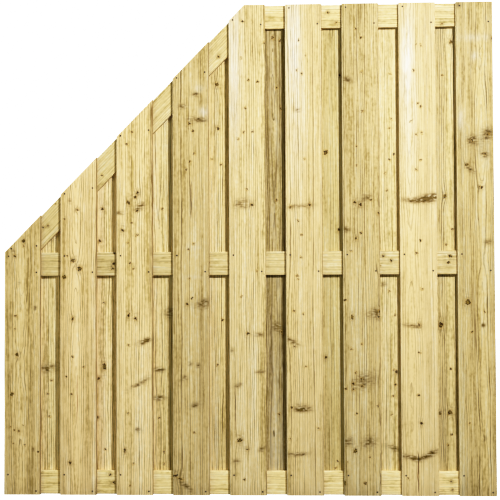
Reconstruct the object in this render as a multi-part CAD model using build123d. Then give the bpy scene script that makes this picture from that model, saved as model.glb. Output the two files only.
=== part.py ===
from build123d import *

import os
from math import atan2, cos, pi, sin, tan

# A wooden fence panel with boards on both faces and one raked top corner.
# Upright boards are nailed to the front and the rear of a layer of rails. The front boards stand apart,
# and a rear board covers each space between them. The top is level over the right half of the panel and
# falls along a slope to the low left side, and a sloping rail follows it from the middle rail upwards.
# Millimetres. X runs along the fence, Y from the front face to the rear face, and Z is up. The origin
# is in the middle of the bottom edge.

# Overall outline
panel_width = 1800.0
panel_height = 1800.0
low_side_height = 890.0  # height of the left side, where the slope starts
slope_run = 890.0  # width over which the slope climbs to the full height

# Boards and rails
front_board_count = 9
board_width = 136.0
board_thickness = 16.0
board_arris = 3.0  # radius of the eased long edges
rail_width = 88.0
rail_thickness = 18.0
rail_arris = 2.0
arris_limit = 0.4  # largest share of a thickness that its arris may take

# Nails, two where a board crosses a rail: one high on the left, one low on the right
nail_head_across = 6.0
nail_head_thickness = 1.2
nail_head_sides = 7
nail_shank_across = 2.8
nail_point_cover = 4.0  # wood left between a nail's point and the far face of its rail
nail_board_inset = 16.0  # from a board's long edge to its nails
nail_rail_inset = 14.0  # from a rail's edge to the nails in it
slope_nail_drop = 9.0  # from the sloping edge square down to the upper nails there
slope_nail_rise = 19.0  # from the sloping rail's lower edge square up to the lower nails

# What follows from those sizes
left_side = -panel_width / 2
right_side = panel_width / 2
front_board_pitch = (panel_width - board_width) / (front_board_count - 1)
front_board_y = -(rail_thickness + board_thickness) / 2
rear_board_y = (rail_thickness + board_thickness) / 2
outer_face = rail_thickness / 2 + board_thickness
middle_rail_top = low_side_height  # the slope springs from the middle rail's upper corner
slope_knee = left_side + slope_run  # where the slope meets the level top
slope_angle = atan2(panel_height - low_side_height, slope_run)
mitre_angle = slope_angle / 2  # halves the bend between the sloping rail and the top rail
knee_point = (slope_knee, panel_height)
nail_shank_length = board_thickness + rail_thickness - nail_point_cover
saw_reach = panel_width + panel_height  # stock and saw cuts run this far past the panel


def slope_height(x):
    """Height at x of the sloping line, which runs on past both of its ends."""
    return low_side_height + (x - left_side) * tan(slope_angle)


def below_top(x, depth):
    """Height at x of a line that keeps a depth, measured square, below the panel's top edge."""
    if x < slope_knee:
        return slope_height(x) - depth / cos(slope_angle)
    return panel_height - depth


# Boards


def slope_offcut():
    """The waste above the slope, which is sawn off the boards that reach it."""
    start, end = left_side - saw_reach, right_side + saw_reach
    corners = [(start, slope_height(start)), (end, slope_height(end)), (start, slope_height(end))]
    return extrude(Plane.XZ * make_face(Polyline(corners, close=True)), saw_reach, both=True)


def upright_board(x_centre, y_centre):
    """One board with eased long edges, square at the top or sawn to the slope."""
    arris = min(board_arris, arris_limit * board_thickness)
    section = Pos(x_centre, y_centre) * RectangleRounded(board_width, board_thickness, arris)
    board = extrude(section, panel_height)
    if x_centre - board_width / 2 < slope_knee:
        board -= slope_offcut()
    return board


# Rails


def rail_stock(upper_edge_point, angle):
    """A long rail on edge, with its upper edge through the point (x, z) at an angle to the level."""
    arris = min(rail_arris, arris_limit * rail_thickness)
    section = Pos(0, -rail_width / 2) * RectangleRounded(rail_thickness, rail_width, arris)
    x, z = upper_edge_point
    end_plane = Plane(origin=(x, 0, z), x_dir=(0, -1, 0), z_dir=(-cos(angle), 0, -sin(angle)))
    return extrude(end_plane * section, saw_reach, both=True)


def saw(rail, point, keep_angle):
    """A rail cut through the point (x, z), keeping the side that the angle points to, 0 being +X."""
    cut = Plane(origin=(point[0], 0, point[1]), z_dir=(cos(keep_angle), 0, sin(keep_angle)))
    return split(rail, bisect_by=cut, keep=Keep.TOP)


def to_right_end(rail):
    """A level rail cut square at the panel's right side."""
    return saw(rail, (right_side, 0), pi)


def full_rail(top):
    """A level rail from side to side."""
    return to_right_end(saw(rail_stock((left_side, top), 0), (left_side, top), 0))


def top_rail():
    """The level top rail, from its mitre to the right side."""
    return to_right_end(saw(rail_stock(knee_point, 0), knee_point, mitre_angle))


def sloping_rail():
    """The rail under the slope, mitred to the top rail and cut level to sit on the middle rail."""
    rail = saw(rail_stock(knee_point, slope_angle), knee_point, mitre_angle + pi)
    return saw(rail, (left_side, middle_rail_top), pi / 2)


# Nails


def nail_places(left, right):
    """The (x, z) of the nails in a board that spans left to right."""
    upper_x = left + nail_board_inset
    lower_x = right - nail_board_inset
    places = []
    for rail_top in (rail_width, middle_rail_top):
        places.append((upper_x, rail_top - nail_rail_inset))
        places.append((lower_x, rail_top - rail_width + nail_rail_inset))
    # The sloping rail runs out to a tip on the middle rail, so nails there keep clear of the tip
    tip_clear = middle_rail_top + nail_rail_inset
    if upper_x < slope_knee:
        tip_clear_x = left_side + (nail_rail_inset + slope_nail_drop / cos(slope_angle)) / tan(slope_angle)
        upper_x = max(upper_x, tip_clear_x)
    upper_depth = slope_nail_drop if upper_x < slope_knee else nail_rail_inset
    lower_depth = rail_width - (slope_nail_rise if lower_x < slope_knee else nail_rail_inset)
    places.append((upper_x, below_top(upper_x, upper_depth)))
    places.append((lower_x, max(below_top(lower_x, lower_depth), tip_clear)))
    return places


def nail(place, facing):
    """One flat-headed nail. facing is -1 for a head on the front face and 1 on the rear face."""
    x, z = place
    face = Plane(origin=(x, facing * outer_face, z), x_dir=(1, 0, 0), z_dir=(0, facing, 0))
    head = extrude(face * RegularPolygon(nail_head_across / 2, nail_head_sides), nail_head_thickness)
    shank = extrude(face * Rectangle(nail_shank_across, nail_shank_across), -nail_shank_length)
    return head + shank


def boxes_meet(a, b):
    """Whether the boxes around two solids overlap."""
    a, b = a.bounding_box(), b.bounding_box()
    spans = zip(a.min, a.max, b.min, b.max)
    return all(a_low < b_high and b_low < a_high for a_low, a_high, b_low, b_high in spans)


def nailed(wood, nails):
    """A board or rail with a hole for each nail that goes into it."""
    return wood - [n for n in nails if boxes_meet(wood, n)]


# The panel

front_centres = [left_side + board_width / 2 + i * front_board_pitch for i in range(front_board_count)]
rear_centres = [x + front_board_pitch / 2 for x in front_centres[:-1]]


def nails_along(centres, facing):
    """The nails of all the boards on one face."""
    half = board_width / 2
    return [nail(place, facing) for x in centres for place in nail_places(x - half, x + half)]


front_nails = nails_along(front_centres, -1)
rear_nails = nails_along(rear_centres, 1)
all_nails = front_nails + rear_nails

pieces = {
    "bottom_rail": nailed(full_rail(rail_width), all_nails),
    "middle_rail": nailed(full_rail(middle_rail_top), all_nails),
    "top_rail": nailed(top_rail(), all_nails),
    "sloping_rail": nailed(sloping_rail(), all_nails),
    "front_nails": Compound(front_nails),
    "rear_nails": Compound(rear_nails),
}
for number, x in enumerate(front_centres, 1):
    pieces[f"front_board_{number}"] = nailed(upright_board(x, front_board_y), front_nails)
for number, x in enumerate(rear_centres, 1):
    pieces[f"rear_board_{number}"] = nailed(upright_board(x, rear_board_y), rear_nails)

os.makedirs("parts", exist_ok=True)
for name, piece in pieces.items():
    export_step(piece, f"parts/{name}.step")
    print(name, round(piece.volume), "mm3")
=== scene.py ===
import bmesh
import bpy
from functools import reduce
from math import atan2, cos, pi, radians, sin
from mathutils import Matrix, Vector
from operator import add
from random import Random


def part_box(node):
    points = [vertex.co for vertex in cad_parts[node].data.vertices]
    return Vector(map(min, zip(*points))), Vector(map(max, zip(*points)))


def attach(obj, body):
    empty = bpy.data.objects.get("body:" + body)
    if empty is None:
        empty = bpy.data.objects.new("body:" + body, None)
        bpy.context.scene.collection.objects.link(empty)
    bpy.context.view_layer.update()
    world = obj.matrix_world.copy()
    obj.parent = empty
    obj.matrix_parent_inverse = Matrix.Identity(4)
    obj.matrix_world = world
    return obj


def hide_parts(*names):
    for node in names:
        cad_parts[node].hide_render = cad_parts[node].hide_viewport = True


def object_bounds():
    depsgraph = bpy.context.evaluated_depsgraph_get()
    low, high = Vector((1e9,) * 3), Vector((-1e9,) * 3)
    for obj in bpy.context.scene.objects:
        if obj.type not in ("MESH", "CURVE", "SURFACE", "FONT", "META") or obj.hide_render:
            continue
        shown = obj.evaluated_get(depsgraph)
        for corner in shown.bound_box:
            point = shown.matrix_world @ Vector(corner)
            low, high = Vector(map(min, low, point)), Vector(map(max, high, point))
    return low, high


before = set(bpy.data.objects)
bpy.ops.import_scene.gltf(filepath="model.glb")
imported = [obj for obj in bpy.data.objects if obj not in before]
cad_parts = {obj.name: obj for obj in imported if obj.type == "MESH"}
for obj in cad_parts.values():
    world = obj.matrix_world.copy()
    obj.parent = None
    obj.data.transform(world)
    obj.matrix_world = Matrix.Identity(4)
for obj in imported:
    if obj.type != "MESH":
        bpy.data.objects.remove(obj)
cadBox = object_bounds()
mm = 0.001


# Shader sheets

class Wire:
    # an output socket: sums of wires add Math nodes, and node() adds any other kind

    def __init__(self, tree, socket=None):
        self.tree = tree
        self.socket = socket

    def node(self, kind, settings, sockets, out=0):
        made = self.tree.nodes.new(kind)
        for name, value in settings.items():
            if name == "stops":
                ramp = made.color_ramp
                while len(ramp.elements) < len(value):
                    ramp.elements.new(1)
                for stop, (where, colour) in zip(ramp.elements, value):
                    stop.position = where
                    stop.color = colour
            else:
                setattr(made, name, value)
        for name, value in sockets.items():
            if isinstance(value, Wire):
                self.tree.links.new(value.socket, made.inputs[name])
            else:
                made.inputs[name].default_value = value
        return Wire(self.tree, made.outputs[out] if len(made.outputs) else None)

    def maths(self, operation, *values):
        return self.node("ShaderNodeMath", {"operation": operation}, dict(enumerate(values)))

    def __add__(self, other):
        return self.maths("ADD", self, other)

    def __sub__(self, other):
        return self.maths("SUBTRACT", self, other)

    def __rsub__(self, other):
        return self.maths("SUBTRACT", other, self)

    def __mul__(self, other):
        return self.maths("MULTIPLY", self, other)

    def __truediv__(self, other):
        return self.maths("DIVIDE", self, other)

    def __pow__(self, other):
        return self.maths("POWER", self, other)

    def __mod__(self, other):
        return self.maths("FLOORED_MODULO", self, other)

    def __neg__(self):
        return self.maths("MULTIPLY", self, -1)

    __radd__ = __add__
    __rmul__ = __mul__

    def exp(self):
        return self.maths("EXPONENT", self)

    def larger(self, other):
        return self.maths("MAXIMUM", self, other)

    def vector(self, operation, *values, out=0):
        sockets = dict(enumerate((self, *values)))
        return self.node("ShaderNodeVectorMath", {"operation": operation}, sockets, out)

    def step(self, low, high):
        # 0 below low, 1 above high, eased between them
        return self.node("ShaderNodeMapRange", {"interpolation_type": "SMOOTHSTEP"},
                         {"Value": self, "From Min": low, "From Max": high})

    def noise(self, stretch, seed, detail, out=0):
        # a cloud around zero, seen at this many waves a metre along each axis
        spread = self.vector("MULTIPLY_ADD", stretch, (seed, seed * 0.37, seed * 0.71))
        cloud = self.node("ShaderNodeTexNoise", {}, {"Vector": spread, "Scale": 1.0, "Detail": detail}, out)
        return cloud if out else cloud - 0.5

    def blend(self, factor, colourA, colourB):
        return self.node("ShaderNodeMix", {"data_type": "RGBA"}, {0: factor, 6: colourA, 7: colourB}, 2)

    def spot(self, centre, halves, turn):
        # squared distance from a place on the face, 1 on the rim of an ellipse given in mm
        (x, z), (wide, tall) = centre, halves
        if not turn:
            shares = (1 / (wide * mm), 0, 1 / (tall * mm))
            inside = self.vector("MULTIPLY_ADD", shares, (-x / wide, 0, -z / tall))
            return inside.vector("DOT_PRODUCT", inside, out=1)
        c, s = cos(radians(turn)), sin(radians(turn))
        wideWay = (c / (wide * mm), 0, -s / (wide * mm))
        tallWay = (s / (tall * mm), 0, c / (tall * mm))
        alongIt = self.vector("DOT_PRODUCT", wideWay, out=1) - (x * c - z * s) / wide
        acrossIt = self.vector("DOT_PRODUCT", tallWay, out=1) - (x * s + z * c) / tall
        return alongIt * alongIt + acrossIt * acrossIt


def newSheet(name):
    material = bpy.data.materials.new(name)
    material.use_nodes = True
    material.node_tree.nodes.clear()
    return material, Wire(material.node_tree)


def paint(red, green, blue):
    # a colour as a paint program gives it, made linear
    shares = (red / 255, green / 255, blue / 255)
    return (*(c / 12.92 if c < 0.0404 else ((c + 0.055) / 1.055) ** 2.4 for c in shares), 1)


# Pine

pine = dict(
    early=paint(236, 211, 154), late=paint(92, 77, 26),  # the two parts of a year ring
    pale=paint(248, 231, 186), deep=paint(182, 159, 97),
    # the stain colour also paints shade along one arris, and the bleached colour also paints sheen near the
    # tops of some boards
    stainAndShade=paint(120, 98, 44), bleachedAndSheen=paint(253, 245, 222),
    # the fleck colour also paints the highlight on one arris
    fleckAndHighlight=paint(252, 240, 200), resin=paint(176, 138, 48),
    knotEdge=paint(46, 27, 2), knotBody=paint(134, 110, 50),
    lineGap=7.8 * mm, lineWidth=4.6 * mm,  # of ring lines on a face
    wander=14 * mm, lift=24 * mm, ripple=0.9,  # how far the pith strays, and how many rings a line wavers
    slantAt=range(-65, 66, 10),  # mm across a face, where its slant to the rings is taken
    unevenScale=40.0, unevenYears=2.0,  # waves a metre of good and lean years, and the rings they shift
    mood=dict(hair=1.2, dashes=0.9, flecks=0.7, streak=0.9, band=1.1, fibre=0.8),  # noises in clear wood
    moodSpan=0.7,  # from the usual colour to the palest or the deepest
    highlightFrom=4 * mm, highlightTo=1.5 * mm, edgeShadeFrom=2.4 * mm, edgeShadeTo=0.8 * mm,  # a painted highlight and a painted shade, in from a long edge
    torn=18 * mm,  # how far noise drags a knot's rim about
    bumpDepth=0.6 * mm, bumpStrength=0.4, gloss=0.12, refraction=1.46,
)

# what a piece has where its own dictionary doesn't say
usualWood = dict(
    # the last two settings are the painted highlight on one arris and the painted shade on the other
    sway=1, figure=0.95, contrast=1.15, warm=1, cool=1, arrisHighlight=0.5, arrisShade=0.7,
    splits=[], streaks=[],
)

# Noise in the wood: waves a metre across, through and along the grain, shift of the seed, detail
grainNoise = dict(
    wander=((6, 6, 1.3), 0, 2), lift=((2, 2, 2), 9, 1),
    ripple=((46, 46, 12), 4, 3), broken=((80, 80, 9), 7, 3),
    fibre=((330, 330, 9), 1, 2), hair=((190, 190, 4), 10, 1), dashes=((130, 130, 26), 5, 2),
    flecks=((120, 120, 75), 12, 1), streak=((60, 60, 2.4), 2, 2), band=((20, 20, 0.7), 3, 1),
    crinkle=((62, 62, 150), 8, 2),
)
rimNoise = ((170, 170, 170), 6, 2)

# How the knots show
knotLook = dict(
    faint=0.5, long=9,  # a knot weaker than faint, or longer than this in mm and flat, is only mottled wood
    bold=0.55,  # a stronger knot pushes the year rings aside
    coreFrom=34,  # one of more square mm, half width by half height, has a lighter core
    traceGrowth=1.3, tracePad=(2, 4), traceStrength=2,  # the reach in mm and strength of mottled wood
    eyePad=7, eyeTall=3.2, eyePush=0.6, eyeMottle=0.4,  # rings and mottling round a bold knot
    # from the rim of a lighter core to its middle
    coreStops=[(0.0, pine["knotEdge"]), (0.6, pine["knotEdge"]),
               (0.85, pine["knotBody"]), (1.0, pine["knotBody"])],
)


def isTrace(knot):
    x, z, wide, tall, turn, strength = knot
    longWay, shortWay = max(wide, tall), min(wide, tall)
    return strength < knotLook["faint"] or (longWay > knotLook["long"] and longWay > 2 * shortWay)


def upsetWood(timber, radius, knots):
    # branches push the year rings aside and mottle the wood round them
    upsets = []
    for knot in knots:
        x, z, wide, tall, turn, strength = knot
        if isTrace(knot):
            growth, (padWide, padTall) = knotLook["traceGrowth"], knotLook["tracePad"]
            trace = timber.spot((x, z), (growth * wide + padWide, growth * tall + padTall), turn)
            upsets.append((-trace).exp() * (knotLook["traceStrength"] * strength))
        elif strength > knotLook["bold"]:
            reach = max(wide, tall)
            eye = (-timber.spot((x, z), (wide + knotLook["eyePad"], knotLook["eyeTall"] * reach), 0)).exp()
            radius = radius + eye * (reach * knotLook["eyePush"] * mm)
            upsets.append(eye * knotLook["eyeMottle"])
    return radius, reduce(add, upsets) if upsets else 0.0


def yearRings(sheet, timber, clouds, wood):
    # dark lines of year rings round a pith that wanders along the log, and the wood upset by branches
    across = sheet.node("ShaderNodeSeparateXYZ", {}, {0: timber}, "X")
    through = sheet.node("ShaderNodeSeparateXYZ", {}, {0: timber}, "Y")
    pithAcross, pithAway = wood["pith"]
    sway = wood["sway"]
    sideways = across - pithAcross * mm + clouds["wander"] * (pine["wander"] * sway)
    depth = through + pithAway * mm + clouds["lift"] * (pine["lift"] * sway)
    # rings that meet the face flat show far apart, so the pitch follows from how the face meets them
    offsets = [x - pithAcross for x in pine["slantAt"]]
    slants = [abs(x) / (x ** 2 + pithAway ** 2) ** 0.5 for x in offsets]
    ringPitch = pine["lineGap"] * sum(slants) / len(slants)
    ripple = clouds["ripple"] * (pine["ripple"] * sway * ringPitch)
    radius = (sideways * sideways + depth * depth) ** 0.5 + ripple
    radius, whorl = upsetWood(timber, radius, wood["knots"])
    uneven = sheet.node("ShaderNodeTexNoise", {"noise_dimensions": "1D"},
                        {"W": radius + wood["seed"], "Scale": pine["unevenScale"], "Detail": 1.0})
    rings = radius / ringPitch + uneven * pine["unevenYears"]
    part = rings % 1
    # a ring's dark edge is drawn thin where the ring lies flat in the face
    squareness = (sideways * sideways / (radius * radius) + 0.02) ** 0.5
    lineShare = squareness * (pine["lineWidth"] / ringPitch)
    late = 1 - ((1 - part) / lineShare).step(0.2, 1.0)
    yearTone = sheet.node("ShaderNodeTexWhiteNoise", {"noise_dimensions": "1D"}, {"W": rings - part})
    broken = clouds["broken"].step(-0.2, 0.2)
    return late * (yearTone * 0.6 + 0.4) * (broken * 0.6 + 0.4), whorl


def clearWood(sheet, clouds, contrast):
    # hairlines, dashes and broad bands of paler and deeper wood
    mood = reduce(add, [clouds[kind] * share for kind, share in pine["mood"].items()]) * contrast
    colour = sheet.blend(mood.step(0.0, pine["moodSpan"]), pine["early"], pine["pale"])
    return sheet.blend((-mood).step(0.0, pine["moodSpan"]), colour, pine["deep"])


def streaksAndSheen(sheet, timber, clouds, colour, late, wood):
    # pale streaks under the ring lines, and stains over them; the pale ones are bleached wood, and near the
    # tops of some boards a painted sheen
    streak, dashes = clouds["streak"], clouds["dashes"]
    stains, paleAndSheenStreaks = [], []
    for x, z, wide, tall, turn, strength in wood["streaks"]:
        soft = (-timber.spot((x, z), (wide, tall), turn)).exp() * abs(strength)
        (stains if strength > 0 else paleAndSheenStreaks).append(soft)
    if paleAndSheenStreaks:
        # negative streaks paint paler wood, and near the tops of boards 5, 6, 8 and 9 a painted sheen
        colour = sheet.blend(reduce(add, paleAndSheenStreaks) * (1 + streak * 2 + dashes * 2), colour, pine["bleachedAndSheen"])
    colour = sheet.blend(late * wood["figure"], colour, pine["late"])
    if stains:
        colour = sheet.blend(reduce(add, stains) * (0.8 + streak * 2.2 + dashes * 2), colour, pine["stainAndShade"])
    return colour


def mottleWood(sheet, crinkle, colour, whorl):
    # stain, pale flecks and dark specks where branches upset the wood
    colour = sheet.blend(whorl * (0.8 + crinkle * 2.2), colour, pine["stainAndShade"])
    colour = sheet.blend(whorl * (-crinkle).step(0.04, 0.16) * 0.25, colour, pine["fleckAndHighlight"])
    return sheet.blend(whorl * crinkle.step(0.04, 0.24) * 0.7, colour, pine["knotEdge"])


def paintArrisLight(sheet, timber, dashes, colour, wood):
    # a painted highlight on one arris, and painted shade along the other
    across = sheet.node("ShaderNodeSeparateXYZ", {}, {0: timber}, "X")
    halfWide = wood["halfWide"]
    # the paler left arris is a painted highlight, and the darker right arris is painted shade
    arrisHighlight = (-across).step(halfWide - pine["highlightFrom"], halfWide - pine["highlightTo"])
    arrisShadeMask = across.step(halfWide - pine["edgeShadeFrom"], halfWide - pine["edgeShadeTo"]) * wood["arrisShade"]
    colour = sheet.blend(arrisHighlight * (wood["arrisHighlight"] + dashes), colour, pine["fleckAndHighlight"])
    return sheet.blend(arrisShadeMask * (1 + dashes), colour, pine["stainAndShade"])


def growKnots(sheet, timber, crinkle, colour, wood):
    # ragged knots: a small one is dark all over, a larger one is lighter inside its rim
    stretch, shift, detail = rimNoise
    torn = pine["torn"]
    dragged = timber.noise(stretch, wood["seed"] + shift, detail, out=1)
    ragged = dragged.vector("MULTIPLY_ADD", (torn, 0, torn), timber)
    ragged = ragged.vector("SUBTRACT", (torn / 2, 0, torn / 2))
    rims, cores = [], []
    for knot in wood["knots"]:
        if not isTrace(knot):
            x, z, wide, tall, turn, strength = knot
            inner = 1 - ragged.spot((x, z), (wide, tall), turn)
            rims.append(inner * strength)
            if wide * tall > knotLook["coreFrom"]:
                cores.append(inner)
    if not rims:
        return colour, 0.0
    rim = reduce(Wire.larger, rims)
    # resin and paler wood hug a knot
    near = rim.step(-1.8, 0.0)
    colour = sheet.blend(near * 0.45, colour, pine["resin"])
    colour = sheet.blend(near * crinkle.step(0.0, 0.14) * 0.25, colour, pine["fleckAndHighlight"])
    knotMask = rim.step(-0.12, 0.5)
    knotColour = pine["knotEdge"]
    if cores:
        core = reduce(Wire.larger, cores)
        knotMask = knotMask.larger(core.step(-0.1, 0.2))
        knotColour = sheet.node("ShaderNodeValToRGB", {"stops": knotLook["coreStops"]}, {0: core})
    return sheet.blend(knotMask * 0.97, colour, knotColour), knotMask


def pineMaterial(name, wood):
    material, sheet = newSheet(name)
    place = sheet.node("ShaderNodeTexCoord", {}, {}, "Object")
    # X across the face, Y through the thickness, Z along the grain
    timber = sheet.node("ShaderNodeMapping", {"vector_type": "TEXTURE"},
                        {"Vector": place, "Location": wood["foot"], "Rotation": (0, wood["turn"], 0)})
    clouds = {}
    for kind, (stretch, shift, detail) in grainNoise.items():
        clouds[kind] = timber.noise(stretch, wood["seed"] + shift, detail)
    late, whorl = yearRings(sheet, timber, clouds, wood)
    colour = clearWood(sheet, clouds, wood["contrast"])
    colour = streaksAndSheen(sheet, timber, clouds, colour, late, wood)
    colour = mottleWood(sheet, clouds["crinkle"], colour, whorl)
    colour = paintArrisLight(sheet, timber, clouds["dashes"], colour, wood)
    shade = wood["shade"]
    colour = colour.vector("MULTIPLY", (shade * wood["warm"], shade, shade * wood["cool"]))
    colour, knotMask = growKnots(sheet, timber, clouds["crinkle"], colour, wood)
    rough = 0.5 - late * 0.08 + clouds["fibre"] * 0.2 + knotMask * 0.2
    height = late * 0.25 + clouds["fibre"] * 0.9 + clouds["streak"] * 0.4
    bump = sheet.node("ShaderNodeBump", {}, {"Strength": pine["bumpStrength"], "Distance": pine["bumpDepth"],
                                             "Height": height})
    shader = sheet.node("ShaderNodeBsdfPrincipled", {}, {
        "Base Color": colour, "Roughness": rough, "Normal": bump,
        "IOR": pine["refraction"], "Specular IOR Level": pine["gloss"]})
    sheet.node("ShaderNodeOutputMaterial", {}, {"Surface": shader})
    return material


# Timber

stock = dict(
    boardArris=2.2 * mm, railArris=2.0 * mm,  # eased long edges
    endArris=0.8 * mm,  # worn edge of a sawn end
    waveRoom=0.8 * mm, waveLength=0.45,  # how far and how often a board wanders off straight
    lines=(-0.32, -0.16, 0, 0.16, 0.32),  # lines of points along a face, in shares of its width
    rowGap=0.06, longEdge=0.03,  # metres between rows of points, and the shortest edge that gets rows
    smoothTo=35,  # degrees between faces that shade as one
)
waveCloud = bpy.data.textures.new("boardWave", "CLOUDS")
waveCloud.noise_scale = stock["waveLength"]


def chooseEdges(piece, wanted):
    bpy.context.tool_settings.mesh_select_mode = (False, True, False)
    bpy.ops.mesh.select_all(action="DESELECT")
    mesh = bmesh.from_edit_mesh(piece.data)
    for edge in mesh.edges:
        if wanted(edge):
            edge.select_set(True)
    bmesh.update_edit_mesh(piece.data)


def planeStock(name, size, arris):
    # a planed length, standing up
    bpy.ops.object.select_all(action="DESELECT")
    bpy.ops.mesh.primitive_cube_add(size=1)
    piece = bpy.context.object
    piece.name = piece.data.name = name
    piece.scale = size
    bpy.ops.object.transform_apply(location=False, rotation=False, scale=True)
    bpy.ops.object.mode_set(mode="EDIT")
    chooseEdges(piece, lambda e: abs(e.verts[0].co.z - e.verts[1].co.z) > size[2] / 2)
    bpy.ops.mesh.bevel(offset=arris, segments=3, affect="EDGES")
    for share in stock["lines"]:
        bpy.ops.mesh.select_all(action="SELECT")
        bpy.ops.mesh.bisect(plane_co=(size[0] * share, 0, 0), plane_no=(1, 0, 0))
    bpy.ops.object.mode_set(mode="OBJECT")
    return piece


def sawTimber(name, size, centre, turn, arris, saws):
    # a planed length is turned about Y into its place and sawn there
    piece = planeStock(name, size, arris)
    piece.rotation_euler = (0, turn, 0)
    piece.location = centre
    bpy.ops.object.transform_apply(location=True, rotation=True, scale=True)
    grain = Vector((sin(turn), 0, cos(turn)))

    def isEnd(face):
        return abs(face.normal.dot(grain)) > 0.3

    def roundsEnd(edge):
        return len(edge.link_faces) == 2 and isEnd(edge.link_faces[0]) != isEnd(edge.link_faces[1])

    def runsAlong(edge):
        way = (edge.verts[0].co - edge.verts[1].co).normalized()
        return edge.calc_length() > stock["longEdge"] and abs(way.dot(grain)) > 0.99

    bpy.ops.object.mode_set(mode="EDIT")
    for point, outward in saws:
        bpy.ops.mesh.select_all(action="SELECT")
        bpy.ops.mesh.bisect(plane_co=point, plane_no=outward, use_fill=True, clear_outer=True)
    # wear on the sawn ends, then rows along the grain to bend
    chooseEdges(piece, roundsEnd)
    bpy.ops.mesh.bevel(offset=stock["endArris"], segments=2, affect="EDGES")
    chooseEdges(piece, runsAlong)
    bpy.ops.mesh.subdivide(number_cuts=int(size[2] / stock["rowGap"]))
    bpy.ops.object.mode_set(mode="OBJECT")
    for axis, share in zip("XYZ", grain):
        if abs(share) < 0.9:
            wave = piece.modifiers.new("wave" + axis, "DISPLACE")
            wave.texture = waveCloud
            wave.texture_coords = "GLOBAL"
            wave.direction = axis
            wave.strength = stock["waveRoom"]
            bpy.ops.object.modifier_apply(modifier=wave.name)
    return piece


# a drying split: a lens on the face, driven in to a narrow edge that wavers with the grain
wedgeShape = dict(
    sides=28, standOff=2 * mm,
    edgeWide=0.15, edgeLong=0.96,  # shares of the lens that the edge keeps
    wavers=((0.3, 61, 0), (0.2, 143, 1)),  # share of the width, radians a metre, start
)


def openSplit(piece, boardMiddle, split):
    x, foot, head, wide, deep = (v * mm for v in split)
    x += boardMiddle
    middle = (foot + head) / 2
    face = min(v.co.y for v in piece.data.vertices)
    standOff = wedgeShape["standOff"]
    bpy.ops.object.select_all(action="DESELECT")
    bpy.ops.mesh.primitive_circle_add(vertices=wedgeShape["sides"], radius=1, fill_type="NGON",
                                      rotation=(pi / 2, 0, 0), location=(x, face - standOff, middle))
    wedge = bpy.context.object
    wedge.scale = (wide / 2, (head - foot) / 2, 1)
    bpy.ops.object.transform_apply(location=True, rotation=True, scale=True)
    bpy.ops.object.mode_set(mode="EDIT")
    bpy.ops.mesh.select_all(action="SELECT")
    bpy.ops.mesh.extrude_region_move(TRANSFORM_OT_translate={"value": (0, deep + standOff, 0)})
    bpy.ops.transform.resize(value=(wedgeShape["edgeWide"], 1, wedgeShape["edgeLong"]),
                             center_override=(x, face + deep, middle))
    bpy.ops.mesh.select_all(action="SELECT")
    bpy.ops.mesh.normals_make_consistent(inside=False)
    bpy.ops.object.mode_set(mode="OBJECT")
    for v in wedge.data.vertices:
        wavers = [share * sin(v.co.z * often + start) for share, often, start in wedgeShape["wavers"]]
        v.co.x += wide * sum(wavers)
    bpy.ops.object.select_all(action="DESELECT")
    bpy.context.view_layer.objects.active = piece
    piece.select_set(True)
    cut = piece.modifiers.new("split", "BOOLEAN")
    cut.operation = "DIFFERENCE"
    cut.solver = "EXACT"
    cut.object = wedge
    bpy.ops.object.modifier_apply(modifier=cut.name)
    bpy.data.objects.remove(wedge)


def finishPiece(piece, node, material):
    bpy.ops.object.select_all(action="DESELECT")
    bpy.context.view_layer.objects.active = piece
    piece.select_set(True)
    bpy.ops.object.shade_smooth_by_angle(angle=radians(stock["smoothTo"]))
    piece.data.materials.clear()
    piece.data.materials.append(material)
    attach(piece, "root")
    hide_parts(node)


# places that the pieces share, from the frame
panelHigh = cadBox[1]
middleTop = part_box("middle_rail")[1].z
knee = Vector((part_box("top_rail")[0].x, 0, panelHigh.z))
slopeStart = Vector((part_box("sloping_rail")[0].x, 0, middleTop))
slopeAngle = atan2(knee.z - slopeStart.z, knee.x - slopeStart.x)
slopeUp = Vector((-sin(slopeAngle), 0, cos(slopeAngle)))

# Front boards. Pith: mm from the board's middle line, mm out in front of the board.
# Knots and streaks: mm from the middle line, mm up, half width, half height, turn in degrees, strength.
# A streak of negative strength is paler: bleached wood, and near the tops of boards 5, 6, 8 and 9 a painted
# sheen. Splits: mm from the middle line, foot, head, width, depth.

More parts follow.
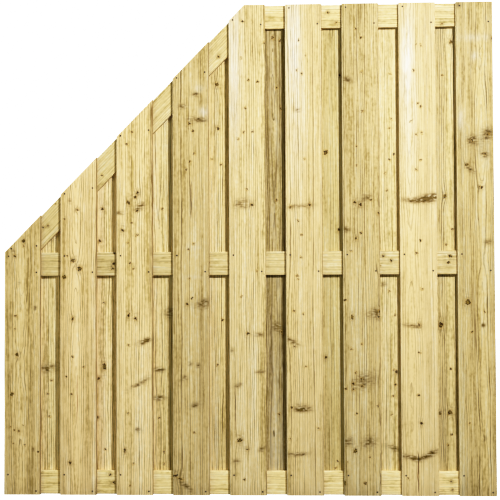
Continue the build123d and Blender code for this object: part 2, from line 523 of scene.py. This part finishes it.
frontBoards = {
    1: dict(
        seed=11, pith=(-5, 26), sway=1.8, figure=0.9, shade=0.96, warm=1.04, cool=1.01,
        knots=[(2, 932, 6, 7, 0, 0.75), (4, 912, 3, 5, 0, 0.5), (-29, 877, 5, 5, 0, 0.65),
            (-35, 895, 3, 3, 0, 0.4), (-13, 777, 3, 3, 0, 0.4), (47, 685, 3, 3, 0, 0.4),
            (-26, 656, 4, 4, 0, 0.5), (-29, 608, 4, 4, 0, 0.5), (-20, 512, 5, 7, 0, 0.85),
            (-38, 367, 6, 7, 0, 0.5), (-43, 248, 3, 3, 0, 0.5), (-29, 237, 3, 3, 0, 0.5),
            (-13, 233, 4, 4, 0, 0.6), (5, 253, 3, 3, 0, 0.5), (-33, 186, 3, 3, 0, 0.5),
            (10, 182, 3, 4, 0, 0.5), (41, 166, 3, 3, 0, 0.45), (60, 157, 3, 3, 0, 0.5)],
        streaks=[(-2, 868, 3, 31, 0, 0.35), (-14, 880, 3, 10, 0, 0.3), (-15, 325, 3, 44, 0, 0.35),
            (-38, 280, 3, 20, 0, 0.3), (28, 347, 3, 38, 0, 0.3)],
    ),
    2: dict(
        seed=22, pith=(-8, 30), sway=1.2, figure=0.9, contrast=0.9, shade=1.08, warm=1.05, cool=1.06,
        splits=[(-4, 268, 440, 3.0, 9)],
        knots=[(-32, 1079, 4, 4, 0, 0.35), (-5, 1047, 4, 4, 0, 0.6), (-52, 1014, 3, 3, 0, 0.5),
            (-41, 876, 3, 3, 0, 0.5), (-21, 860, 7, 7, 0, 0.6), (5, 829, 8, 8, 0, 0.65),
            (-53, 799, 7, 7, 0, 0.55), (-21, 645, 5, 6, 0, 0.7), (-22, 505, 4, 4, 0, 0.55),
            (20, 469, 4, 4, 0, 0.55), (-44, 433, 3, 4, 0, 0.5), (-26, 369, 4, 4, 0, 0.5),
            (-31, 118, 5, 5, 0, 0.8)],
    ),
    3: dict(
        seed=33, pith=(110, 50), contrast=0.95, shade=1.12, warm=1.03, cool=1.07,
        knots=[(-10, 1333, 4, 4, 0, 0.5), (-29, 1287, 4, 4, 0, 0.5), (11, 1107, 6, 4, -30, 0.8),
            (3, 1092, 6, 4, -40, 0.6), (-23, 1071, 8, 5, 40, 0.8), (20, 1058, 14, 7, -30, 0.49),
            (9, 1042, 4, 4, 0, 0.6), (-57, 1034, 12, 3, 5, 0.5), (-10, 997, 4, 4, 0, 0.55),
            (9, 952, 5, 4, 0, 0.55), (-45, 970, 7, 4, 30, 0.6), (-25, 923, 4, 4, 0, 0.55),
            (-18, 849, 4, 4, 0, 0.5), (-4, 828, 4, 4, 0, 0.5), (-22, 658, 4, 8, 10, 0.7),
            (3, 645, 5, 6, -30, 0.7), (38, 562, 17, 4, -22, 0.7), (-22, 546, 4, 4, 0, 0.5),
            (23, 411, 36, 4, -30, 0.4), (-25, 299, 4, 4, 0, 0.5), (13, 237, 9, 5, 0, 0.4),
            (-36, 161, 4, 8, 0, 0.75), (-5, 115, 4, 4, 0, 0.5), (-17, 34, 4, 4, 0, 0.5)],
        streaks=[(62, 1405, 10, 24, 0, 0.6), (2, 1180, 5, 40, 0, 0.3), (66, 700, 8, 900, 0, 0.4),
            (61, 1290, 5, 130, 1, 0.5), (65, 1120, 4, 80, -2, 0.6), (63, 960, 5, 110, 2, 0.5),
            (60, 740, 8, 150, 0, 0.35), (66, 880, 5, 8, 0, 0.5), (66, 1065, 5, 8, 0, 0.5)],
    ),
    4: dict(
        seed=44, pith=(-120, 60), shade=0.83, warm=1.03,
        splits=[(1, 1010, 1150, 3.4, 10)],
        knots=[(16, 1469, 9, 4, 10, 0.49), (-30, 1426, 12, 4, 0, 0.49), (28, 1376, 22, 4, 6, 0.49),
            (-4, 1362, 6, 5, 30, 0.6), (8, 1334, 4, 4, 0, 0.55), (12, 1250, 4, 4, 0, 0.5),
            (-4, 1221, 4, 4, 0, 0.5), (-16, 1192, 2, 7, 0, 0.5), (10, 918, 4, 4, 0, 0.5),
            (-11, 898, 4, 4, 0, 0.5), (-7, 792, 4, 4, 0, 0.5), (3, 717, 4, 4, 0, 0.55),
            (-14, 697, 5, 5, 0, 0.8), (46, 699, 22, 10, -12, 0.5), (-3, 477, 4, 4, 0, 0.4),
            (25, 474, 4, 4, 0, 0.4), (-25, 426, 9, 4, -20, 0.4), (14, 328, 13, 5, -15, 0.45),
            (11, 229, 4, 4, 0, 0.5), (-61, 72, 6, 5, 0, 0.8), (-39, 60, 9, 4, 25, 0.6),
            (-16, 31, 20, 3, 45, 0.45)],
        streaks=[(58, 700, 4, 700, 0, 0.3), (38, 500, 14, 360, 0, 0.3), (1, 1085, 3, 70, 0, 0.5),
            (8, 905, 30, 10, 0, -0.22), (10, 797, 40, 9, 0, -0.25), (-62, 700, 7, 800, 0, 0.22),
            (32, 1492, 15, 14, 0, -0.55), (48, 1405, 17, 16, 0, -0.75), (45, 1446, 18, 14, 0, 0.3)],
    ),
    5: dict(
        seed=55, pith=(96, 60), contrast=0.95, shade=0.97, warm=1.02, cool=1.05,
        splits=[(-46, 232, 396, 2.6, 8)],
        knots=[(-15, 1740, 4, 5, 0, 0.5), (-20, 1604, 3, 4, 0, 0.5), (64, 1657, 4, 4, 0, 0.5),
            (5, 1521, 4, 4, 0, 0.5), (40, 1515, 4, 4, 0, 0.5), (-6, 1416, 4, 4, 0, 0.55),
            (-13, 1328, 4, 4, 0, 0.5), (-33, 1303, 4, 4, 0, 0.5), (20, 1331, 2, 7, 0, 0.5),
            (-2, 1118, 4, 4, 0, 0.55), (-22, 1064, 18, 12, -15, 0.4), (16, 1062, 5, 5, 0, 0.8),
            (33, 820, 4, 4, 0, 0.5), (-23, 723, 4, 4, 0, 0.5), (0, 589, 5, 5, 0, 0.6),
            (44, 585, 11, 3, 0, 0.55), (-59, 526, 5, 5, 0, 0.35), (44, 450, 12, 2, -10, 0.45),
            (-37, 399, 10, 4, -15, 0.4), (-31, 200, 10, 6, -25, 0.65), (-2, 169, 5, 5, 0, 0.6),
            (50, 169, 10, 3, -30, 0.5), (-44, 125, 9, 4, 0, 0.4), (-15, 59, 4, 4, 0, 0.5)],
        # its bleached streak near the top is a painted sheen
        streaks=[(-46, 1600, 24, 240, 0, -0.5)],
    ),
    6: dict(
        seed=66, pith=(-100, 70), contrast=0.85, shade=0.93, warm=1.03, cool=1.03,
        knots=[(-17, 1667, 2, 6, 0, 0.5), (8, 1610, 2, 6, 0, 0.5), (-23, 1555, 4, 4, 0, 0.5),
            (-6, 1544, 4, 4, 0, 0.5), (-21, 1408, 7, 4, 0, 0.35), (1, 1228, 4, 4, 0, 0.5),
            (21, 1059, 5, 5, 0, 0.8), (-49, 1051, 4, 4, 0, 0.65), (-15, 1055, 34, 2, -4, 0.35),
            (-23, 1000, 4, 4, 0, 0.5), (-9, 950, 4, 4, 0, 0.55), (-12, 867, 4, 4, 0, 0.5),
            (-27, 799, 4, 4, 0, 0.5), (-23, 786, 3, 3, 0, 0.5), (-38, 671, 4, 4, 0, 0.5),
            (-5, 659, 4, 4, 0, 0.5), (-49, 562, 23, 4, 28, 0.47), (-37, 542, 3, 3, 0, 0.6),
            (3, 469, 4, 4, 0, 0.5), (-11, 320, 24, 7, 0, 0.35), (-11, 311, 20, 3, 0, 0.6),
            (-50, 319, 4, 4, 0, 0.5), (47, 243, 4, 4, 0, 0.5), (-55, 209, 4, 4, 0, 0.5),
            (-27, 150, 27, 3, -3, 0.5)],
        # its bleached streaks near the top are a painted sheen
        streaks=[(-38, 1645, 22, 180, 0, -0.6), (-30, 1450, 28, 300, 0, -0.3)],
    ),
    7: dict(
        seed=77, pith=(70, 50), shade=0.81, warm=1.02, cool=0.99,
        knots=[(-17, 1706, 4, 4, 0, 0.5), (3, 1673, 4, 4, 0, 0.5), (4, 1546, 4, 4, 0, 0.5),
            (-49, 1519, 13, 6, 12, 0.6), (7, 1400, 4, 4, 0, 0.55), (-16, 1273, 4, 4, 0, 0.55),
            (-15, 1203, 4, 4, 0, 0.5), (-23, 1067, 5, 6, 0, 0.8), (-2, 1057, 5, 5, 0, 0.8),
            (20, 1084, 14, 7, -30, 0.45), (36, 1075, 4, 4, 0, 0.5), (-56, 968, 11, 4, 5, 0.6),
            (0, 956, 4, 4, 0, 0.55), (-19, 936, 5, 5, 0, 0.8), (65, 1026, 4, 5, 0, 0.6),
            (-37, 891, 4, 4, 0, 0.5), (-60, 709, 5, 4, 0, 0.5), (-34, 648, 5, 9, 0, 0.75),
            (46, 663, 20, 12, -30, 0.42), (63, 669, 4, 4, 0, 0.6), (61, 650, 5, 5, 0, 0.8),
            (1, 550, 4, 4, 0, 0.5), (-38, 532, 4, 4, 0, 0.5), (-23, 446, 4, 4, 0, 0.55),
            (-33, 406, 5, 5, 0, 0.7), (-32, 386, 5, 5, 0, 0.65), (0, 397, 5, 4, 0, 0.6),
            (-4, 425, 4, 4, 0, 0.6), (14, 420, 30, 18, -20, 0.34), (-60, 387, 5, 4, 0, 0.5),
            (-21, 297, 4, 4, 0, 0.55), (57, 325, 4, 4, 0, 0.5), (-56, 197, 16, 11, 10, 0.45),
            (25, 194, 19, 12, -20, 0.45), (-26, 163, 6, 6, 0, 0.65), (26, 139, 4, 4, 0, 0.5),
            (-54, 122, 4, 4, 0, 0.5), (-66, 48, 5, 7, 0, 0.8), (8, 46, 4, 4, 0, 0.5)],
        streaks=[(65, 800, 8, 1000, 0, 0.3), (44, 500, 15, 420, 0, 0.2), (8, 1785, 4, 20, 0, 0.35)],
    ),
    8: dict(
        # no painted shade along its right arris
        seed=88, pith=(-30, 40), figure=0.65, contrast=0.75, shade=0.97, warm=1.03, cool=1.03, arrisShade=0,
        splits=[(-8, 8, 166, 4.6, 11)],
        knots=[(-3, 1647, 4, 4, 0, 0.55), (14, 1641, 4, 4, 0, 0.55), (-14, 1550, 4, 4, 0, 0.5),
            (0, 1429, 4, 4, 0, 0.55), (11, 1416, 4, 4, 0, 0.55), (-24, 1364, 7, 2, -35, 0.5),
            (-4, 1316, 4, 4, 0, 0.55), (14, 1321, 4, 4, 0, 0.55), (10, 1220, 4, 4, 0, 0.55),
            (-7, 1184, 4, 4, 0, 0.5), (-26, 1073, 26, 4, 6, 0.5), (44, 1082, 30, 9, -8, 0.62),
            (26, 1078, 26, 5, -10, 0.6), (8, 927, 4, 4, 0, 0.55), (-8, 880, 4, 4, 0, 0.55),
            (11, 749, 4, 4, 0, 0.55), (-25, 616, 22, 3, 7, 0.5), (0, 619, 4, 7, 0, 0.65),
            (0, 519, 4, 4, 0, 0.55), (-5, 364, 4, 4, 0, 0.55), (5, 263, 5, 5, 0, 0.75),
            (-42, 142, 26, 5, 12, 0.42), (-14, 134, 16, 3, 6, 0.4), (18, 141, 22, 3, -22, 0.4),
            (42, 155, 21, 5, -24, 0.5), (-44, 63, 4, 4, 0, 0.5)],
        # its bleached streaks near the top are a painted sheen
        streaks=[(-40, 1600, 16, 120, 0, -0.75), (-30, 1480, 26, 320, 0, -0.35)],
    ),
    9: dict(
        # no painted shade along its right arris
        seed=99, pith=(24, 32), sway=1.6, contrast=1.2, shade=0.84, warm=1.03, cool=0.95, arrisShade=0,
        knots=[(66, 1664, 5, 5, 0, 0.6), (-11, 1292, 5, 4, 0, 0.7), (-12, 1294, 13, 8, -15, 0.45),
            (46, 1312, 5, 4, 0, 0.6), (46, 1318, 15, 12, -20, 0.45), (20, 1288, 36, 14, -20, 0.16),
            (36, 1240, 5, 4, 0, 0.65), (34, 1242, 11, 8, 0, 0.35), (-30, 1202, 6, 6, 0, 0.8),
            (-17, 1184, 14, 4, 40, 0.4), (20, 1120, 5, 5, 0, 0.8), (42, 919, 9, 6, -15, 0.45),
            (-32, 700, 10, 10, 30, 0.8), (28, 667, 4, 4, 0, 0.55), (-18, 595, 4, 4, 0, 0.55),
            (-30, 263, 4, 4, 0, 0.55)],
        # its bleached streaks near the top are a painted sheen
        streaks=[(-58, 1790, 12, 14, 0, 0.6), (0, 1668, 60, 14, 0, -0.4), (0, 1600, 12, 16, 0, -0.5),
            (-50, 1364, 12, 40, 0, -0.5), (20, 1270, 40, 60, 0, 0.2), (24, 617, 8, 7, 0, 0.9),
            (-6, 590, 5, 110, -2, 0.6), (-14, 748, 3, 36, 3, 0.5), (0, 738, 3, 34, -3, 0.45),
            (66, 800, 8, 900, 0, 0.25), (0, 36, 5, 30, 0, 0.3), (6, 940, 70, 420, 0, 0.14)],
    ),
}

# Rear boards

rearBoards = {
    1: dict(
        seed=14, pith=(-80, 50), figure=1.1, shade=1.21, warm=0.97, cool=1.09,
        knots=[(-3, 417, 4, 4, 0, 0.55), (-16, 366, 4, 4, 0, 0.55), (-10, 283, 4, 4, 0, 0.55),
            (-16, 462, 26, 10, -8, 0.49)],
    ),
    2: dict(
        seed=25, pith=(90, 60), figure=1.1, shade=1.21, warm=0.99, cool=1.12,
        knots=[(-21, 1052, 5, 5, 0, 0.8), (-30, 931, 5, 5, 0, 0.8), (-16, 703, 4, 4, 0, 0.55),
            (-13, 467, 6, 11, 0, 0.8), (-34, 422, 5, 5, 0, 0.75), (-37, 279, 4, 4, 0, 0.6),
            (-10, 161, 4, 4, 0, 0.5)],
        streaks=[(-37, 345, 3, 70, 0, 0.4)],
    ),
    3: dict(
        seed=36, pith=(-20, 30), figure=1.1, shade=1.03, warm=0.99, cool=1.03,
        knots=[(-5, 1050, 4, 4, 0, 0.55), (23, 662, 14, 12, -10, 0.49), (-20, 455, 17, 4, 0, 0.6),
            (-21, 351, 17, 4, 0, 0.6), (-18, 277, 4, 4, 0, 0.5), (0, 153, 4, 4, 0, 0.55),
            (0, 110, 4, 4, 0, 0.55)],
    ),
    4: dict(
        seed=47, pith=(60, 46), figure=1.1, shade=1.0, warm=1.01, cool=1.0,
        knots=[(-9, 1513, 6, 8, -20, 0.75), (-6, 1347, 4, 7, -20, 0.7), (-30, 1233, 4, 4, 0, 0.5),
            (6, 1214, 4, 4, 0, 0.5), (8, 638, 4, 5, 0, 0.55), (-10, 472, 4, 4, 0, 0.55)],
    ),
    5: dict(
        seed=58, pith=(-8, 24), figure=1.6, contrast=1.6, shade=0.98, warm=0.97, cool=1.1,
        knots=[(-8, 1684, 5, 6, 0, 0.75), (19, 1672, 5, 5, 0, 0.8), (4, 1496, 4, 4, 0, 0.55),
            (20, 1420, 2, 7, 0, 0.55), (3, 1080, 4, 4, 0, 0.55), (2, 613, 12, 13, 0, 0.49),
            (20, 593, 4, 4, 0, 0.6), (8, 292, 4, 4, 0, 0.55)],
        streaks=[(0, 900, 90, 1500, 0, 0.45), (-27, 1480, 4, 320, 0, 0.4), (0, 1600, 4, 190, 0, 0.6),
            (16, 1520, 4, 260, 0, 0.4), (2, 1180, 6, 80, 0, 0.4), (-20, 560, 5, 260, 0, 0.4),
            (8, 330, 6, 160, 0, 0.4), (24, 500, 7, 400, 0, 0.4)],
    ),
    6: dict(
        seed=69, pith=(100, 58), figure=0.75, shade=0.79, warm=0.99, cool=0.93,
        knots=[(-23, 1254, 7, 8, 0, 0.5), (22, 970, 5, 5, 0, 0.8), (29, 1541, 5, 5, 0, 0.75),
            (-28, 499, 5, 5, 0, 0.8), (13, 121, 4, 4, 0, 0.55), (7, 96, 4, 4, 0, 0.55)],
    ),
    7: dict(
        seed=71, pith=(-90, 58), figure=0.85, shade=1.02, warm=0.98, cool=1.04,
        knots=[(8, 1543, 4, 4, 0, 0.5), (10, 1377, 4, 4, 0, 0.5), (3, 1342, 4, 4, 0, 0.5),
            (18, 1245, 4, 4, 0, 0.5), (3, 1227, 4, 4, 0, 0.5), (-13, 1176, 2, 7, 0, 0.5),
            (-8, 1113, 2, 7, 0, 0.5), (-22, 767, 8, 5, 0, 0.4), (-1, 742, 4, 4, 0, 0.5),
            (19, 653, 4, 4, 0, 0.5), (13, 452, 4, 4, 0, 0.55), (23, 446, 5, 5, 0, 0.8),
            (19, 400, 4, 4, 0, 0.55), (12, 358, 4, 4, 0, 0.55), (5, 292, 4, 4, 0, 0.55),
            (12, 167, 18, 6, 25, 0.45)],
    ),
    8: dict(
        seed=82, pith=(14, 28), figure=1.1, shade=0.87, warm=0.99, cool=1.0,
        knots=[(24, 1659, 6, 6, 0, 0.7), (-9, 1536, 4, 4, 0, 0.5), (-2, 1090, 6, 9, 0, 0.8),
            (23, 969, 4, 4, 0, 0.55), (0, 913, 4, 4, 0, 0.55), (-22, 617, 9, 9, 0, 0.8),
            (12, 456, 4, 4, 0, 0.55), (-31, 296, 6, 6, 0, 0.8), (9, 298, 8, 8, 0, 0.8),
            (15, 219, 4, 4, 0, 0.55), (1, 178, 4, 4, 0, 0.55)],
        streaks=[(-8, 365, 4, 36, 0, 0.4)],
    ),
}


def layBoard(node, wood):
    low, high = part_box(node)
    size = high - low
    size.x -= 2 * stock["waveRoom"]
    centre = (low + high) / 2
    saws = [(knee, slopeUp)] if low.x < knee.x else []
    board = sawTimber(node + "_timber", size, centre, 0, stock["boardArris"], saws)
    wood = {**usualWood, **wood, "foot": (centre.x, centre.y, 0), "turn": 0, "halfWide": size.x / 2}
    for split in wood["splits"]:
        openSplit(board, centre.x, split)
    finishPiece(board, node, pineMaterial(node + "_pine", wood))


for number, wood in frontBoards.items():
    layBoard(f"front_board_{number}", wood)
for number, wood in rearBoards.items():
    layBoard(f"rear_board_{number}", wood)
print("boards laid:", len(frontBoards) + len(rearBoards))


# Rails. Their knots are placed from the rail's middle, across it and along it.

# the rails carry a faint painted highlight and painted shade along their long edges
railWood = dict(figure=0.5, arrisHighlight=0.15, arrisShade=0.4)
rails = {
    "bottom_rail": dict(
        seed=103, pith=(60, 30), shade=1.17,
        knots=[(-29, -508, 4, 5, 0, 0.6), (1, -495, 5, 4, 0, 0.8), (-8, 735, 4, 4, 0, 0.6),
            (23, 740, 4, 4, 0, 0.6)],
    ),
    "middle_rail": dict(
        seed=117, pith=(-70, 30), shade=0.88,
        knots=[(-41, -495, 4, 5, 0, 0.7), (-1, -495, 6, 5, 0, 0.8), (17, -500, 4, 6, 0, 0.6),
            (0, -144, 4, 4, 0, 0.55), (-25, 497, 4, 4, 0, 0.6), (-8, 525, 5, 4, 0, 0.7),
            (10, 482, 4, 4, 0, 0.55), (-23, 740, 5, 7, 30, 0.75), (1, 733, 5, 5, 0, 0.75)],
    ),
    "top_rail": dict(
        seed=121, pith=(66, 36), shade=1.02,
        knots=[(-15, -145, 4, 4, 0, 0.6), (24, -115, 4, 4, 0, 0.6), (33, 271, 4, 4, 0, 0.6)],
    ),
    "sloping_rail": dict(
        seed=139, pith=(-64, 28), shade=0.92,
        knots=[(-8, -471, 4, 4, 0, 0.55), (0, -453, 4, 4, 0, 0.6), (-36, -378, 4, 4, 0, 0.55),
            (14, -180, 4, 4, 0, 0.55), (19, 436, 4, 4, 0, 0.6)],
    ),
}


def layRail(node, wood):
    low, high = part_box(node)
    railLow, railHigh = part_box("bottom_rail")
    width = railHigh.z - railLow.z
    planed = width - 2 * stock["waveRoom"]
    thick = high.y - low.y
    mitre = Vector((cos(slopeAngle / 2), 0, sin(slopeAngle / 2)))
    if node == "sloping_rail":
        length = (knee - slopeStart).length
        centre = (knee + slopeStart) / 2 - slopeUp * width / 2
        turn = pi / 2 - slopeAngle
        seat = Vector((0, 0, middleTop - stock["waveRoom"]))
        saws = [(knee, mitre), (seat, Vector((0, 0, -1)))]
        size = Vector((planed, thick, length + 4 * width))  # overlong, for the saws
    else:
        centre, turn = (low + high) / 2, pi / 2
        saws = [(knee, -mitre)] if node == "top_rail" else []
        size = Vector((planed, thick, high.x - low.x))
    rail = sawTimber(node + "_timber", size, centre, turn, stock["railArris"], saws)
    wood = {**usualWood, **railWood, **wood, "foot": tuple(centre), "turn": turn, "halfWide": size.x / 2}
    finishPiece(rail, node, pineMaterial(node + "_pine", wood))


for node, wood in rails.items():
    layRail(node, wood)
print("rails laid:", len(rails))


# Nails

nails = dict(
    headAcross=6.0 * mm, headRise=0.7 * mm, crownInset=0.7 * mm, crownRise=0.25 * mm,
    shankAcross=2.8 * mm, shankLength=9 * mm, sides=12,
    lean=4, sunk=0.4 * mm,  # degrees off square, and how far the deepest head is hammered in
    flatTo=0.1 * mm, oneHead=8 * mm,  # points of a CAD head lie this level, and this near each other
    black=paint(26, 19, 10), rusty=paint(40, 24, 9),
)


def nailPlaces(node):
    # the middles of the heads of the CAD nails
    low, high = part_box(node)
    outer = low.y if "front" in node else high.y
    places = []
    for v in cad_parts[node].data.vertices:
        if abs(v.co.y - outer) < nails["flatTo"]:
            near = [p for p in places if (p[0] - v.co).length < nails["oneHead"]]
            if near:
                near[0].append(v.co.copy())
            else:
                places.append([v.co.copy()])
    return [sum(p, Vector()) / len(p) for p in places]


def nailMaterial():
    material, sheet = newSheet("nailSteel")
    place = sheet.node("ShaderNodeTexCoord", {}, {}, "Object")
    fine = place.noise((900, 900, 900), 3, 2)
    slow = place.noise((9, 9, 9), 5, 1)
    rust = (fine * 0.6 + slow * 1.2).step(-0.1, 0.35)
    colour = sheet.blend(rust, nails["black"], nails["rusty"])
    shader = sheet.node("ShaderNodeBsdfPrincipled", {}, {
        "Base Color": colour, "Metallic": 0.2 - rust * 0.15, "Roughness": 0.62 + rust * 0.2})
    sheet.node("ShaderNodeOutputMaterial", {}, {"Surface": shader})
    return material


def chooseFaces(piece, wanted):
    bpy.context.tool_settings.mesh_select_mode = (False, False, True)
    bpy.ops.mesh.select_all(action="DESELECT")
    mesh = bmesh.from_edit_mesh(piece.data)
    for face in mesh.faces:
        face.select_set(wanted(face))
    bmesh.update_edit_mesh(piece.data)


def forgeNail():
    # one nail at the origin, with its head towards -Y
    bpy.ops.object.select_all(action="DESELECT")
    bpy.ops.mesh.primitive_cylinder_add(vertices=nails["sides"], radius=nails["headAcross"] / 2,
                                        depth=2 * nails["headRise"], rotation=(pi / 2, 0, 0))
    nail = bpy.context.object
    bpy.ops.object.transform_apply(rotation=True)
    bpy.ops.object.mode_set(mode="EDIT")
    # a low crown on the head
    chooseFaces(nail, lambda face: face.normal.y < -0.9)
    bpy.ops.mesh.inset(thickness=nails["crownInset"], depth=0)
    bpy.ops.transform.translate(value=(0, -nails["crownRise"], 0))
    # and a shank under it
    chooseFaces(nail, lambda face: face.normal.y > 0.9)
    bpy.ops.mesh.inset(thickness=(nails["headAcross"] - nails["shankAcross"]) / 2, depth=0)
    bpy.ops.mesh.extrude_region_move(TRANSFORM_OT_translate={"value": (0, nails["shankLength"], 0)})
    bpy.ops.object.mode_set(mode="OBJECT")
    return nail


def driveNails(node, face, outward, material):
    nail = forgeNail()
    lots = Random(7)
    driven = []
    for place in nailPlaces(node):
        copy = bpy.data.objects.new("nail", nail.data.copy())
        bpy.context.collection.objects.link(copy)
        lean = Matrix.Rotation(radians(lots.uniform(-nails["lean"], nails["lean"])), 4, "X")
        spin = Matrix.Rotation(radians(lots.uniform(0, 360)), 4, "Y")
        side = Matrix.Identity(4) if outward < 0 else Matrix.Rotation(pi, 4, "Z")
        sunk = lots.uniform(-nails["sunk"], 0.0)
        seat = Matrix.Translation((place.x, face + outward * sunk, place.z))
        copy.data.transform(seat @ side @ lean @ spin)
        driven.append(copy)
    bpy.data.objects.remove(nail)
    bpy.ops.object.select_all(action="DESELECT")
    for copy in driven:
        copy.select_set(True)
    bpy.context.view_layer.objects.active = driven[0]
    bpy.ops.object.join()
    joined = bpy.context.object
    joined.name = joined.data.name = node + "_driven"
    finishPiece(joined, node, material)
    return len(driven)


steel = nailMaterial()
frontDriven = driveNails("front_nails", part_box("front_board_5")[0].y, -1, steel)
rearDriven = driveNails("rear_nails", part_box("rear_board_5")[1].y, 1, steel)
print("nails driven:", frontDriven + rearDriven)


# Floor, light and camera

studio = dict(
    floorAcross=24.0, floorGlow=2.2, floorTones=((0.82, 0.82, 0.82, 1), (0.86, 0.86, 0.855, 1)),
    fill=0.18, fillTint=(0.95, 1.0, 0.78, 1), backdrop=2.6,
    lamps=dict(
        key=dict(kind="SPOT", place=(1.33, -2.65, 2.4), aim=(-0.9, 0, 0.15), radius=0.06, cone=110,
                 power=574.0, tint=(0.98, 1.0, 1.08)),
        side=dict(kind="AREA", place=(-3.0, -3.0, 1.5), aim=(0, 0, 0.9), radius=0.7,
                  power=34.0, tint=(0.97, 0.97, 0.62)),
        back=dict(kind="AREA", place=(-1.6, 3.6, 3.0), aim=(0, 0, 0.9), radius=0.8,
                  power=250.0, tint=(1, 1, 1)),
        end=dict(kind="AREA", place=(3.4, 1.0, 1.8), aim=(0.9, 0, 0.9), radius=0.6,
                 power=45.0, tint=(1, 1, 1)),
    ),
)


def layFloor():
    bpy.ops.object.select_all(action="DESELECT")
    bpy.ops.mesh.primitive_plane_add(size=studio["floorAcross"])
    floor = bpy.context.object
    floor.name = "paleFloor"
    material, sheet = newSheet("paleFloor")
    place = sheet.node("ShaderNodeTexCoord", {}, {}, "Object")
    mottle = place.noise((1.5, 1.5, 1.5), 2, 2).step(-0.4, 0.4)
    tone = sheet.blend(mottle, *studio["floorTones"])
    shader = sheet.node("ShaderNodeBsdfPrincipled", {}, {
        "Base Color": tone, "Roughness": 0.9,
        "Emission Color": tone, "Emission Strength": studio["floorGlow"]})
    sheet.node("ShaderNodeOutputMaterial", {}, {"Surface": shader})
    floor.data.materials.append(material)
    floor.visible_diffuse = False  # keeps the shadows between the boards deep
    floor.visible_glossy = False


def hangLamp(name, wanted):
    lamp = bpy.data.lights.new(name, wanted["kind"])
    lamp.energy = wanted["power"]
    lamp.color = wanted["tint"]
    if wanted["kind"] == "SPOT":
        lamp.spot_size = radians(wanted["cone"])
        lamp.spot_blend = 1.0
        lamp.shadow_soft_size = wanted["radius"]
    else:
        lamp.shape = "DISK"
        lamp.size = 2 * wanted["radius"]
    hung = bpy.data.objects.new(name, lamp)
    bpy.context.collection.objects.link(hung)
    hung.location = wanted["place"]
    hung.rotation_euler = (Vector(wanted["aim"]) - hung.location).to_track_quat("-Z", "Y").to_euler()


def hangBackdrop():
    # white to look at, and a weaker fill on the panel
    world = bpy.data.worlds.new("studio")
    bpy.context.scene.world = world
    world.use_nodes = True
    world.node_tree.nodes.clear()
    sheet = Wire(world.node_tree)
    seen = sheet.node("ShaderNodeLightPath", {}, {}, "Is Camera Ray")
    fill = sheet.node("ShaderNodeBackground", {}, {"Color": studio["fillTint"], "Strength": studio["fill"]})
    backdrop = sheet.node("ShaderNodeBackground", {}, {"Color": (1, 1, 1, 1), "Strength": studio["backdrop"]})
    sky = sheet.node("ShaderNodeMixShader", {}, {0: seen, 1: fill, 2: backdrop})
    sheet.node("ShaderNodeOutputWorld", {}, {"Surface": sky})


layFloor()
for name, wanted in studio["lamps"].items():
    hangLamp(name, wanted)
hangBackdrop()

# the photograph's hard tone curve: deep shadows and a soft shoulder
film = dict(
    tones=[(0.05, 0.02), (0.1, 0.055), (0.2, 0.135), (0.3, 0.235), (0.4, 0.34), (0.6, 0.54),
           (0.8, 0.70), (1.0, 0.82), (1.2, 0.90), (1.5, 0.96), (2.0, 0.99)],
    white=(3.0, 1.0), brightest=4.0,
)
view = bpy.context.scene.view_settings
view.view_transform = "Standard"
view.use_curve_mapping = True
toneCurve = view.curve_mapping
toneCurve.clip_max_x = toneCurve.clip_max_y = film["brightest"]
allTones = toneCurve.curves[3]
allTones.points[1].location = film["white"]
for light, shown in film["tones"]:
    allTones.points.new(light, shown)
toneCurve.update()

shot = dict(place=(0.179, -4.2, 0.765), yaw=2.33, pitch=1.777, roll=-0.225, lens=82.14, sensor=36.0)
lens = bpy.data.cameras.new("shot")
lens.lens = shot["lens"]
lens.sensor_width = shot["sensor"]
camera = bpy.data.objects.new("shot", lens)
bpy.context.collection.objects.link(camera)
yaw = Matrix.Rotation(radians(shot["yaw"]), 4, "Z")
pitch = Matrix.Rotation(radians(90 + shot["pitch"]), 4, "X")
roll = Matrix.Rotation(radians(shot["roll"]), 4, "Z")
camera.matrix_world = Matrix.Translation(shot["place"]) @ yaw @ pitch @ roll
bpy.context.scene.camera = camera
print("floor, light and camera set")
